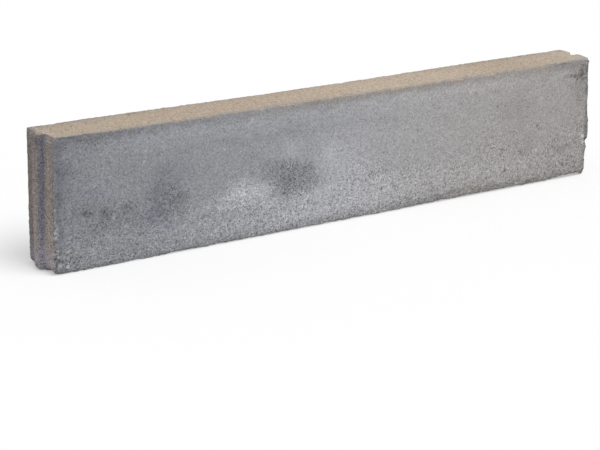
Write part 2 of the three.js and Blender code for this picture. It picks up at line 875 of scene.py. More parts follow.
@dataclass(frozen=True)
class Staining:
    """The front's stains, with borders that wander and with a grain of their own."""

    stains: tuple[Stain, ...]
    wander_along: Pattern = Pattern(26, seed=12, layers=3, swing=10)
    wander_up: Pattern = Pattern(24, seed=13, layers=3, swing=8)
    grain: Pattern = Pattern(7, seed=21, swing=0.4)

    def changes(self, form: StoneForm) -> tuple[np.ndarray, np.ndarray]:
        """Adds up what the stains change.

        Args:
            form: The plain form.

        Returns:
            The change of the look at each point, and the change of its coarseness.
        """
        along = form.along + self.wander_along.at(form.points)
        up = form.up + self.wander_up.at(form.points)
        grainy = 1 + self.grain.at(form.points)
        front = form.on(Face.FRONT)
        changed = np.zeros((3, len(form.points)))
        for stain in self.stains:
            strength = front * stain.cover(along, up) * grainy
            changed += np.outer((stain.tone, stain.warmth, stain.coarse), strength)
        return changed[:2], changed[2]


@dataclass(frozen=True)
class LeanMix:
    """Where the mix was leaner and its sand stands out, from 0 to about 1."""

    # The long faces are lean low down, most of all in the middle, under a wandering border.
    low_down: Ramp = Ramp(118, 38)
    low_border: Pattern = Pattern(60, seed=11, layers=3, swing=34)
    along: Profile = Profile(((0, 0.7), (260, 0.72), (360, 0.95), (520, 0.92), (780, 0.62)))
    near_foot: Ramp = Ramp(24, 8, 0.35)
    near_tongue: Ramp = Ramp(230, 40, 0.35)
    near_groove: Ramp = Ramp(955, 985, 0.45)
    # How lean the other faces are.
    ends: float = 0.85
    foot: float = 1.0
    top: float = 0.25
    most: float = 1.3

    def coarseness(self, form: StoneForm, stained: np.ndarray) -> np.ndarray:
        """Works out how lean the mix is.

        Args:
            form: The plain form.
            stained: How much coarser the stains make each point.

        Returns:
            The coarseness at each point, from 0 to the most.
        """
        low_down = self.low_down.at(form.up + self.low_border.at(form.points))
        walls = low_down * self.along.at(form.along) + self.near_foot.at(form.up)
        walls += self.near_tongue.at(form.along) * (1 - low_down)
        walls += self.near_groove.at(form.along)
        walls += stained
        level = self.foot * form.on(Face.FOOT) + self.top * form.on(Face.TOP)
        rest = self.ends * form.on(*ENDS) + level
        return np.clip(form.on(*LONG_FACES) * walls + rest, 0, self.most)


@dataclass(frozen=True)
class LongSkin:
    """The long faces' look along them, its change with height, and the band under the top edge."""

    along: Drift
    # How the look changes with height. The lowest few mm are painted darker, as shade on the worn foot
    # edge that faces down.
    up: Drift
    top_band: Drift
    band: Ramp = Ramp(184, 195)
    band_border: Pattern = Pattern(20, seed=17, layers=2, swing=6)
    # How the same grey mix differs where it shows through on top.
    bared: Tint = Tint(-0.04, 0.15)

    def look(self, form: StoneForm, stained: np.ndarray) -> np.ndarray:
        """Works out the look of the long faces.

        Args:
            form: The plain form.
            stained: How the stains change the look.

        Returns:
            The look of each point.
        """
        band = self.band.at(form.up + self.band_border.at(form.points))
        upward = self.up.at(form.up) + band * self.top_band.at(form.along)
        return self.along.at(form.along) + upward + stained

    def bared_look(self, form: StoneForm) -> np.ndarray:
        """Works out the look of the grey mix where the top's facing is missing.

        Args:
            form: The plain form.

        Returns:
            The look of each point.
        """
        tone, warmth = self.along.at(form.along)
        band_tone = self.top_band.at(form.along)[0]
        return np.stack([tone + band_tone + self.bared.tone, warmth + self.bared.warmth])


@dataclass(frozen=True)
class EndSkin:
    """The ends' look: bands that the mould's plate rubbed up them, with painted shade by the tongue's
    root, and a lighter, greyer look low down, whose lightness is painted light bounced up from the
    floor.
    """

    # Bands across the end. The dip in tone by the tongue's root is painted shade in that recess.
    across: Drift
    # How the look changes with height. Near the foot it is painted lighter, as light bounced up from the
    # floor.
    up: Drift
    # The bands lie as given at this height, and lean this much to the front for each mm up.
    lean_from: float = 128
    lean: float = 0.015
    # Beside the tongue a bluish band is darkest right under the top.
    dark_up: Ramp = Ramp(174, 196)
    dark_across: Hump = Hump(33, 8)
    dark_shade: float = 0.17
    # Behind the tongue the skin is paler near the top and darker near the foot.
    back: Ramp = Ramp(50, 60)
    back_lift: Ramp = Ramp(178, 197, 0.16)
    back_shade: Ramp = Ramp(90, 40, 0.11)
    # High up, the plate scuffed a wider strip in front of the tongue to a cool grey.
    scuff_up: Ramp = Ramp(138, 165)
    scuff_front: Ramp = Ramp(18, 21)
    scuff_back: Ramp = Ramp(33, 27)
    scuff_warmth: float = 0.04
    scuff_warming: Ramp = Ramp(160, 188, 0.2)
    # The groove end is more even.
    groove: Tint = Tint(0.98, 0.62)
    groove_share: float = 0.65
    # Low down the ends are drawn to a lighter, greyer look. Its lightness is painted light bounced up
    # from the floor.
    bounce_and_grey: Tint = Tint(1.04, 0.3)
    bounce_and_grey_up: Ramp = Ramp(65, 5, 0.75)

    def darkest(self, form: StoneForm) -> np.ndarray:
        """Where the bluish band beside the tongue is darkest, from 0 to 1."""
        return self.dark_up.at(form.up) * self.dark_across.at(form.across)

    def bands(self, form: StoneForm) -> np.ndarray:
        """Works out the look that the mould's plate left, with painted shade by the tongue's root.

        Args:
            form: The plain form.

        Returns:
            The look of each point.
        """
        tone, warmth = self.across.at(form.across + self.lean * (form.up - self.lean_from))
        tone -= self.dark_shade * self.darkest(form)
        tone += self.back.at(form.across) * (self.back_lift.at(form.up) - self.back_shade.at(form.up))
        strip = self.scuff_front.at(form.across) * self.scuff_back.at(form.across)
        scuffed = self.scuff_warmth + self.scuff_warming.at(form.up)
        warmth += self.scuff_up.at(form.up) * strip * (scuffed - warmth)
        return np.stack([tone, warmth])

    def look(self, form: StoneForm) -> np.ndarray:
        """Works out the look of the ends.

        Args:
            form: The plain form.

        Returns:
            The look of each point.
        """
        calm = self.groove_share * form.on(Face.GROOVE_END)
        evened = drawn_to(self.bands(form), self.groove.look(), calm)
        return drawn_to(evened, self.bounce_and_grey.look(), self.bounce_and_grey_up.at(form.up)) + self.up.at(form.up)


@dataclass(frozen=True)
class SandyTop:
    """The sandy facing mix on top, with a ragged lip along the front and with thin edges.

    The lip hangs down the front where its profile is over 0, and stops short of the edge where it
    is under.
    """

    along: Drift
    across: Drift
    lip: Profile
    lip_border: Pattern = Pattern(9, seed=16, layers=2, swing=3.0)
    border: Ramp = Ramp(-1.6, 1.6)
    # It is rubbed thin along the edges.
    rub: float = 0.42
    rub_reach: float = 4.0
    # It ran short about the front corner of the groove end.
    bare_along: float = 992
    bare_across: float = 6
    bare_reach: Triple = (42, 24, 30)
    bare_border: Pattern = Pattern(12, seed=20, layers=2, swing=0.6)
    bare: Ramp = Ramp(1.2, 0.4, 0.5)

    def look(self, form: StoneForm) -> np.ndarray:
        """The look of the top."""
        return self.along.at(form.along) + self.across.at(form.across)

    def cover(self, form: StoneForm, rim: np.ndarray) -> np.ndarray:
        """Works out where the facing mix lies.

        Args:
            form: The plain form.
            rim: Where the end's skin lies over the top's rim, from 0 to 1.

        Returns:
            The cover at each point, from 0 to 1.
        """
        top = form.on(Face.TOP)
        lip = self.lip.at(form.along) + self.lip_border.at(form.points)
        inside = np.where(top > 0, form.across, form.up - form.top)
        cover = self.border.at(inside + lip) * (1 - form.on(*ENDS)) * (1 - rim)
        away = form.near(self.bare_along, self.bare_across, form.top, self.bare_reach)
        rubbed = self.rub * np.exp(-form.from_edge / self.rub_reach)
        rubbed += self.bare.at(away + self.bare_border.at(form.points))
        return np.clip(cover - top * rubbed, 0, 1)


@dataclass(frozen=True)
class EndWrap:
    """The ends' brown skin where it turns onto the long faces and over the top's rim."""

    reach: float = 3.0
    low_reach: Ramp = Ramp(60, 30, 3.0)
    fade: float = 4.5
    border: Pattern = Pattern(9, seed=19, layers=2, swing=2.4)
    tint: Tint = Tint(0.90, 0.62)
    # How the lighter, greyer look low down changes it. Its lightness is painted light bounced up from
    # the floor.
    bounce_and_grey_change: Tint = Tint(0.07, -0.28)
    # How far it reaches over the top at the tongue end, at places from the front to the back.
    rim_reach: Profile = Profile(
        ((24, 10), (30, 10), (35, 7.5), (41, 3), (47, 0), (52, -2.5), (60, -0.5), (70, 5))
    )
    rim_fade: float = 1.5
    rim_border: Pattern = Pattern(9, seed=22, layers=2, swing=2.4)
    rim_tone: float = 0.94
    rim_shade: float = 0.26
    rim_lift: Ramp = Ramp(48, 58, 0.10)

    def on_sides(self, form: StoneForm) -> np.ndarray:
        """How much of the end's skin lies on the long faces.

        Args:
            form: The plain form.

        Returns:
            The share at each point, from 0 to 1.
        """
        reach = self.reach + self.low_reach.at(form.up) + self.border.at(form.points)
        turned = smooth_step(reach + self.fade, reach - self.fade, form.to_end)
        return form.on(*LONG_FACES) * turned

    def on_rim(self, form: StoneForm) -> np.ndarray:
        """How much of the end's skin lies over the top's rim.

        Args:
            form: The plain form.

        Returns:
            The share at each point, from 0 to 1.
        """
        reach = self.rim_reach.at(form.across) + self.rim_border.at(form.points)
        turned = smooth_step(reach + self.rim_fade, reach - self.rim_fade, form.along)
        return form.on(Face.TOP) * turned

    def side_look(self, bounce_and_grey: np.ndarray) -> np.ndarray:
        """The wrap's look on the long faces, drawn by a share from 0 to 1 to the lighter, greyer look
        low down, which is partly painted light from the floor.
        """
        return self.tint.look() + bounce_and_grey * self.bounce_and_grey_change.look()

    def rim_look(self, form: StoneForm, dark: np.ndarray) -> np.ndarray:
        """The wrap's look on the rim, darker where the band beside the tongue is dark."""
        tone = self.rim_tone - self.rim_shade * dark + self.rim_lift.at(form.across)
        return np.stack([tone, np.full(len(tone), self.tint.warmth)])


@dataclass(frozen=True)
class Weathering:
    """The looks that the pallet, the damp and the steel left on the stone, and some light and shade
    painted on it.
    """

    staining: Staining
    long_skin: LongSkin
    end_skin: EndSkin
    sandy_top: SandyTop
    lean_mix: LeanMix = LeanMix()
    wrap: EndWrap = EndWrap()
    # By the groove end, bare places keep the top's own tone.
    bared_along: Ramp = Ramp(975, 950)
    # The back is cloudier than the other faces, and a lean mix more mottled than a fine one.
    clouds: Pattern = Pattern(60, seed=14, layers=2, swing=0.04)
    least_clouds: float = 0.4
    mottle: Pattern = Pattern(13, seed=18, layers=2, swing=0.018)
    least_mottle: float = 0.6
    broad: Pattern = Pattern(150, seed=15, swing=0.10)
    # The upright edges are rubbed pale, those of the tongue end only.
    rub: float = 0.06
    rub_reach: float = 1.5
    rub_along: Ramp = Ramp(500, 480)
    tone_range: Pair = (0.3, 1.7)

    def coats(
        self, form: StoneForm, stained: np.ndarray, coarse: np.ndarray, marks: np.ndarray
    ) -> dict[Coat, np.ndarray]:
        """Works out every coat of the stone.

        Args:
            form: The stone's plain form.
            stained: How the stains change the look.
            coarse: How lean the mix is at each point.
            marks: The tones of pits and chips, with shade painted in the pits.

        Returns:
            One value for each point in each coat.
        """
        sides = self.wrap.on_sides(form)
        rim = self.wrap.on_rim(form)
        facing = self.sandy_top.cover(form, rim)
        bare = form.on(Face.TOP) * np.clip(1 - facing - rim, 0, 1)
        look = self.with_bare_places(form, self.face_look(form, stained), bare)
        look = drawn_to(look, self.wrap.rim_look(form, self.end_skin.darkest(form)), rim)
        look = drawn_to(look, self.wrap.side_look(self.end_skin.bounce_and_grey_up.at(form.up)), sides)
        tone = look[0] + self.unevenness(form, coarse) + marks
        return {
            Coat.FACING: facing,
            Coat.END_SKIN: form.on(*ENDS) + sides + rim,
            Coat.TONE: np.clip(tone, *self.tone_range) ** SEEN_TO_LIGHT,
            Coat.WARMTH: np.clip(look[1], 0, 1),
            Coat.COARSE: coarse,
        }

    def face_look(self, form: StoneForm, stained: np.ndarray) -> np.ndarray:
        """Gives each face its own look.

        Args:
            form: The plain form.
            stained: How the stains change the look.

        Returns:
            The look of each point.
        """
        looks = {
            LONG_FACES: self.long_skin.look(form, stained),
            ENDS: self.end_skin.look(form),
            (Face.TOP,): self.sandy_top.look(form),
            (Face.FOOT,): self.long_skin.along.at(form.along),
        }
        return sum(form.on(*faces) * look for faces, look in looks.items())

    def with_bare_places(self, form: StoneForm, look: np.ndarray, bare: np.ndarray) -> np.ndarray:
        """Lets the grey mix show where the top's facing is missing.

        Args:
            form: The plain form.
            look: The look of each point so far.
            bare: How much of the facing is missing at each point of the top.

        Returns:
            The new look of each point.
        """
        share = bare * np.stack([self.bared_along.at(form.along), np.ones(len(bare))])
        return drawn_to(look, self.long_skin.bared_look(form), share)

    def unevenness(self, form: StoneForm, coarse: np.ndarray) -> np.ndarray:
        """Adds up the clouds, the mottling and the rubbed corners.

        Args:
            form: The plain form.
            coarse: How lean the mix is at each point.

        Returns:
            The change of tone at each point.
        """
        clouds = self.clouds.at(form.points) * (self.least_clouds + form.on(Face.BACK))
        mottle = self.mottle.at(form.points) * (self.least_mottle + coarse)
        broad = self.broad.at(form.points) * form.on(Face.BACK, Face.FOOT)
        rubbed = self.rub * np.exp(-form.from_corner / self.rub_reach) * self.rub_along.at(form.along)
        return clouds + mottle + broad + rubbed


# ---------------------------------------------------------------- the concrete


@dataclass(frozen=True)
class Shade:
    """One skin's colour where it is cool and where it is warm."""

    cool: str
    warm: str


@dataclass(frozen=True)
class PressedConcrete:
    """Semi-dry concrete, rammed in a steel mould and struck green.

    The steel leaves a dull blue-grey skin of fines, dead matt, with single pale and dark sand
    grains in it. Where the mix was lean the grains stand proud with open pores between them. The
    facing mix on top is a buff sand, and the ends are brown where the mould's plates rubbed them.
    """

    skin: Shade = Shade("#91949C", "#9C9894")
    end_skin: Shade = Shade("#73717F", "#92897C")
    facing: Shade = Shade("#ABA298", "#B1A08D")
    # The end skin and the facing have ragged borders, and fade into the skin this softly.
    border_mm: float = 4.5
    end_fade: float = 0.4
    facing_fade: float = 0.15
    # The sand is 0.3 to 1.5 mm across, and its dust finer. Both are drawn this coarse so that
    # they still show.
    grain_mm: float = 1.8
    dust_mm: float = 1.5
    # How much the grains' tones differ, and how much more they do where the mix is lean.
    grain_contrast: float = 0.27
    coarse_contrast: float = 0.29
    # A grain's tone is slope * chance + cube * chance ** 3, where its chance is from -0.5 to 0.5.
    # So most grains are close to the cement's own tone, and a few are much paler or darker.
    chance_slope: float = 0.8
    chance_cube: float = 6.0
    # Pores are 2 to 4 mm across. Each cell this wide may hold one: this share of them does, and
    # this many more where the mix is lean.
    pore_cell_mm: float = 11.0
    pore_share: float = 0.04
    coarse_pores: float = 0.4
    # A pore's rim and its floor reach this far from its middle, as shares of the cell.
    pore_rim: float = 0.17
    pore_floor: float = 0.10
    # A pore is painted this much darker, as shade in its hole.
    pore_shade: float = 0.42
    # Heights in millimetres. A grain stands highest in its middle, more so where the mix is lean.
    grain_height: float = 0.15
    coarse_height: float = 0.35
    dust_height: float = 0.2
    pore_depth: float = 0.5
    # Dry, unsealed concrete is dead matt.
    roughness: float = 0.93
    ior: float = 1.5

    def material(self) -> bpy.types.Material:
        """Builds the material, which reads the stone's coats.

        Returns:
            The material.
        """
        made = bpy.data.materials.new("pressed_concrete")
        made.use_nodes = True
        tree = made.node_tree
        tree.nodes.clear()
        place = add_node(tree, "ShaderNodeTexCoord").outputs["Object"]
        coats = {
            coat: add_node(tree, "ShaderNodeAttribute", attribute_name=coat.value).outputs["Fac"]
            for coat in Coat
        }
        grain_scale = 1 / (self.grain_mm * MM)
        grains = add_node(tree, "ShaderNodeTexVoronoi", {"Vector": place, "Scale": grain_scale})
        pores = self.pores(tree, place, coats[Coat.COARSE])
        light = self.light(tree, coats, grains.outputs["Color"], pores)
        lit = add_node(
            tree,
            "ShaderNodeMix",
            {"Factor": 1.0, "A": self.colour(tree, place, coats), "B": light},
            data_type="RGBA",
            blend_type="MULTIPLY",
        )
        height = self.height(tree, place, coats[Coat.COARSE], grains.outputs["Distance"], pores)
        bump = add_node(tree, "ShaderNodeBump", {"Height": height, "Distance": MM, "Strength": 1.0})
        shader = add_node(
            tree,
            "ShaderNodeBsdfPrincipled",
            {
                "Base Color": lit.outputs["Result"],
                "Roughness": self.roughness,
                "IOR": self.ior,
                "Normal": bump.outputs[0],
            },
        )
        add_node(tree, "ShaderNodeOutputMaterial", {"Surface": shader.outputs[0]})
        return made

    def colour(self, tree: bpy.types.NodeTree, place: Socket, coats: Mapping[Coat, Socket]) -> Socket:
        """Picks the skin, end or facing colour at each point.

        Args:
            tree: The material's nodes.
            place: The point's place.
            coats: The stone's coats.

        Returns:
            The colour's output.
        """
        shades = []
        for shade in (self.skin, self.end_skin, self.facing):
            mixed = add_node(
                tree,
                "ShaderNodeMix",
                {"Factor": coats[Coat.WARMTH], "A": linear(shade.cool), "B": linear(shade.warm)},
                data_type="RGBA",
            )
            shades.append(mixed.outputs["Result"])
        result, end_skin, facing = shades
        ragged = add_node(
            tree,
            "ShaderNodeTexNoise",
            {"Vector": place, "Scale": 1 / (self.border_mm * MM), "Detail": 2.0},
        ).outputs["Fac"]
        skins = ((Coat.END_SKIN, end_skin, self.end_fade), (Coat.FACING, facing, self.facing_fade))
        for coat, shade, fade in skins:
            border = add_node(tree, "ShaderNodeMath", {0: coats[coat], 1: ragged}, operation="ADD")
            cover = add_node(
                tree,
                "ShaderNodeMapRange",
                {"Value": border.outputs[0], "From Min": 1 - fade, "From Max": 1 + fade},
                interpolation_type="SMOOTHSTEP",
            )
            laid = add_node(
                tree,
                "ShaderNodeMix",
                {"Factor": cover.outputs[0], "A": result, "B": shade},
                data_type="RGBA",
            )
            result = laid.outputs["Result"]
        return result

    def pores(self, tree: bpy.types.NodeTree, place: Socket, coarse: Socket) -> Socket:
        """Marks the small open pores, more of them where the mix is coarse.

        Args:
            tree: The material's nodes.
            place: The point's place.
            coarse: How lean the mix is.

        Returns:
            An output that is 1 in a pore and 0 outside.
        """
        cell_scale = 1 / (self.pore_cell_mm * MM)
        cells = add_node(tree, "ShaderNodeTexVoronoi", {"Vector": place, "Scale": cell_scale})
        chance = add_node(tree, "ShaderNodeSeparateColor", {0: cells.outputs["Color"]})
        share = add_node(
            tree,
            "ShaderNodeMath",
            {0: coarse, 1: self.coarse_pores, 2: self.pore_share},
            operation="MULTIPLY_ADD",
        )
        open_here = add_node(
            tree, "ShaderNodeMath", {0: chance.outputs[0], 1: share.outputs[0]}, operation="LESS_THAN"
        )
        hole = add_node(
            tree,
            "ShaderNodeMapRange",
            {"Value": cells.outputs["Distance"], "From Min": self.pore_rim, "From Max": self.pore_floor},
        )
        both = add_node(
            tree, "ShaderNodeMath", {0: open_here.outputs[0], 1: hole.outputs[0]}, operation="MULTIPLY"
        )
        return both.outputs[0]

    def light(
        self, tree: bpy.types.NodeTree, coats: Mapping[Coat, Socket], grains: Socket, pores: Socket
    ) -> Socket:
        """How light each grain is, with the stone's tone and its pores.

        Args:
            tree: The material's nodes.
            coats: The stone's coats.
            grains: A chance colour for each grain.
            pores: 1 in a pore.

        Returns:
            The factor's output.
        """
        each = add_node(tree, "ShaderNodeSeparateColor", {0: grains}).outputs[0]
        off = add_node(tree, "ShaderNodeMath", {0: each, 1: 0.5}, operation="SUBTRACT").outputs[0]
        square = add_node(tree, "ShaderNodeMath", {0: off, 1: off}, operation="MULTIPLY")
        stretch = add_node(
            tree,
            "ShaderNodeMath",
            {0: square.outputs[0], 1: self.chance_cube, 2: self.chance_slope},
            operation="MULTIPLY_ADD",
        )
        spread = add_node(tree, "ShaderNodeMath", {0: off, 1: stretch.outputs[0]}, operation="MULTIPLY")
        swing = add_node(
            tree,
            "ShaderNodeMath",
            {0: coats[Coat.COARSE], 1: self.coarse_contrast, 2: self.grain_contrast},
            operation="MULTIPLY_ADD",
        )
        varied = add_node(
            tree,
            "ShaderNodeMath",
            {0: spread.outputs[0], 1: swing.outputs[0], 2: 1.0},
            operation="MULTIPLY_ADD",
        )
        toned = add_node(
            tree, "ShaderNodeMath", {0: varied.outputs[0], 1: coats[Coat.TONE]}, operation="MULTIPLY"
        )
        dark = add_node(
            tree, "ShaderNodeMath", {0: pores, 1: -self.pore_shade, 2: 1.0}, operation="MULTIPLY_ADD"
        )
        lit = add_node(
            tree, "ShaderNodeMath", {0: toned.outputs[0], 1: dark.outputs[0]}, operation="MULTIPLY"
        )
        return lit.outputs[0]

    def height(
        self,
        tree: bpy.types.NodeTree,
        place: Socket,
        coarse: Socket,
        grain_distance: Socket,
        pores: Socket,
    ) -> Socket:
        """Raises the grains and sinks the pores.

        Args:
            tree: The material's nodes.
            place: The point's place.
            coarse: How lean the mix is.
            grain_distance: How far the point is from the middle of its grain.
            pores: 1 in a pore.

        Returns:
            The height's output, in millimetres.
        """
        dust_scale = 1 / (self.dust_mm * MM)
        dust = add_node(
            tree, "ShaderNodeTexNoise", {"Vector": place, "Scale": dust_scale, "Detail": 1.0}
        )
        stand = add_node(
            tree,
            "ShaderNodeMath",
            {0: coarse, 1: -self.coarse_height, 2: -self.grain_height},
            operation="MULTIPLY_ADD",
        )
        grains = add_node(
            tree, "ShaderNodeMath", {0: grain_distance, 1: stand.outputs[0]}, operation="MULTIPLY"
        )
        fine = add_node(
            tree,
            "ShaderNodeMath",
            {0: dust.outputs["Fac"], 1: self.dust_height, 2: grains.outputs[0]},
            operation="MULTIPLY_ADD",
        )
        height = add_node(
            tree,
            "ShaderNodeMath",
            {0: pores, 1: -self.pore_depth, 2: fine.outputs[0]},
            operation="MULTIPLY_ADD",
        )
        return height.outputs[0]


# ---------------------------------------------------------------- the stone


@dataclass
class KerbStone:
    """The finished kerb: its form, shaped by its casting and coloured by its weathering."""

    form: StoneForm
    casting: Casting
    weathering: Weathering
    finish: PressedConcrete

    def build(self) -> bpy.types.Object:
        """Makes the stone and sets it on its body.

        Returns:
            The stone's object.
        """
        stained, coarser = self.weathering.staining.changes(self.form)
        coarse = self.weathering.lean_mix.coarseness(self.form, coarser)
        points, marks = self.casting.shape(self.form, coarse)
        mesh = self.mesh(points, self.weathering.coats(self.form, stained, coarse, marks))
        mesh.materials.append(self.finish.material())
        stone = place_object(PIECE, mesh)
        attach(stone, BODY)
        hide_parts(NODE)
        deepest = np.linalg.norm(points - self.form.points, axis=1).max() / MM
        LOG.info("%s: %d triangles, relief to %.1f mm", PIECE, 2 * len(self.form.quads), deepest)
        return stone

    def mesh(self, points: np.ndarray, coats: Mapping[Coat, np.ndarray]) -> bpy.types.Mesh:
        """Makes the stone's mesh and gives it its coats.

        Args:
            points: The worn stone's points.
            coats: One value for each point in each coat.

        Returns:
            The mesh.
        """
        made = bpy.data.meshes.new(PIECE)
        made.from_pydata(points.tolist(), [], self.form.quads.tolist())
        made.polygons.foreach_set("use_smooth", np.ones(len(made.polygons), bool))
        for coat, values in coats.items():
            layer = made.attributes.new(coat.value, "FLOAT", "POINT")
            layer.data.foreach_set("value", values.astype(np.float32))
        made.update()
        return made


# ---------------------------------------------------------------- the studio


@dataclass(frozen=True)
class StudioPaper:
    """Studio paper: it scatters nearly all its light. The eye sees its shadows a little softer."""

    grey: float = 0.9
    seen_grey: float = 0.6

    def material(self) -> bpy.types.Material:
        """Builds the material.

        Returns:
            The material.
        """
        made = bpy.data.materials.new("studio_paper")
        made.use_nodes = True
        tree = made.node_tree
        tree.nodes.clear()
        eye = add_node(tree, "ShaderNodeLightPath").outputs["Is Camera Ray"]
        shade = add_node(
            tree, "ShaderNodeMapRange", {"Value": eye, "To Min": self.grey, "To Max": self.seen_grey}
        )
        matt = add_node(tree, "ShaderNodeBsdfDiffuse", {"Color": shade.outputs[0]})
        lift = add_node(tree, "ShaderNodeMath", {0: eye, 1: 1 - self.seen_grey}, operation="MULTIPLY")
        glow = add_node(tree, "ShaderNodeEmission", {"Color": WHITE, "Strength": lift.outputs[0]})
        both = add_node(tree, "ShaderNodeAddShader", {0: matt.outputs[0], 1: glow.outputs[0]})
        add_node(tree, "ShaderNodeOutputMaterial", {"Surface": both.outputs[0]})
        return made


@dataclass(frozen=True)
class Studio:
    """A pale floor, soft light and the camera's place.

    Angles are in degrees, and an azimuth turns from the front towards the groove end. The lens and
    its sensor are in millimetres. The sky's strength and the key's power are those of the renderer.
    """

    azimuth: float = -34.20
    elevation: float = 18.08
    roll: float = 1.04
    distance: float = 2.9168
    target: Triple = (-0.0774, -0.0394, 0.0067)
    lens: float = 114.51
    sensor_width: float = 36.0
    sky: float = 0.45
    key_power: float = 2.0
    key_azimuth: float = 20.0
    key_elevation: float = 60.0
    key_angle: float = 40.0
    floor_size: float = 30.0
    paper: StudioPaper = StudioPaper()

    def direction(self, azimuth: float, elevation: float) -> Vector:
        """The way from the stone towards an azimuth and an elevation."""
        a, e = math.radians(azimuth), math.radians(elevation)
        return Vector((math.sin(a) * math.cos(e), -math.cos(a) * math.cos(e), math.sin(e)))

    def build(self) -> None:
        """Makes the camera, the light, the sky and the floor."""
        self.build_camera()
        self.build_key()
        self.build_sky()
        self.build_floor()
        bpy.context.scene.view_settings.view_transform = "Standard"
        LOG.info("studio: camera at %.2f m, one key light and a white sky", self.distance)

    def build_camera(self) -> None:
        """Sets the camera at its place, turned a little about its own axis."""
        data = bpy.data.cameras.new("camera")
        data.lens = self.lens
        data.sensor_width = self.sensor_width
        camera = place_object("camera", data)
        back = self.direction(self.azimuth, self.elevation)
        camera.location = Vector(self.target) + back * self.distance
        camera.rotation_mode = "QUATERNION"
        level = (-back).to_track_quat("-Z", "Y")
        camera.rotation_quaternion = level @ Quaternion((0, 0, 1), math.radians(self.roll))
        bpy.context.scene.camera = camera

    def build_key(self) -> None:
        """A broad soft light from above the front."""
        data = bpy.data.lights.new("key", "SUN")
        data.energy = self.key_power
        data.angle = math.radians(self.key_angle)
        key = place_object("key", data)
        key.rotation_mode = "QUATERNION"
        way = self.direction(self.key_azimuth, self.key_elevation)
        key.rotation_quaternion = way.to_track_quat("Z", "Y")

    def build_sky(self) -> None:
        """White to the eye and in reflections, and dimmer as light."""
        world = bpy.data.worlds.new("studio")
        bpy.context.scene.world = world
        world.use_nodes = True
        tree = world.node_tree
        tree.nodes.clear()
        path = add_node(tree, "ShaderNodeLightPath").outputs
        seen = path["Is Camera Ray"]
        for ray in ("Is Glossy Ray", "Is Transmission Ray"):
            either = add_node(tree, "ShaderNodeMath", {0: seen, 1: path[ray]}, operation="MAXIMUM")
            seen = either.outputs[0]
        light = add_node(tree, "ShaderNodeMapRange", {"Value": seen, "To Min": self.sky, "To Max": 1.0})
        shade = add_node(tree, "ShaderNodeBackground", {"Color": WHITE, "Strength": light.outputs[0]})
        add_node(tree, "ShaderNodeOutputWorld", {"Surface": shade.outputs[0]})

    def build_floor(self) -> None:
        """A wide pale floor that keeps the stone's shadow."""
        half = self.floor_size / 2
        corners = [(-half, -half, 0), (half, -half, 0), (half, half, 0), (-half, half, 0)]
        mesh = bpy.data.meshes.new("floor")
        mesh.from_pydata(corners, [], [(0, 1, 2, 3)])
        mesh.materials.append(self.paper.material())
        place_object("floor", mesh)


# ---------------------------------------------------------------- this stone's own marks

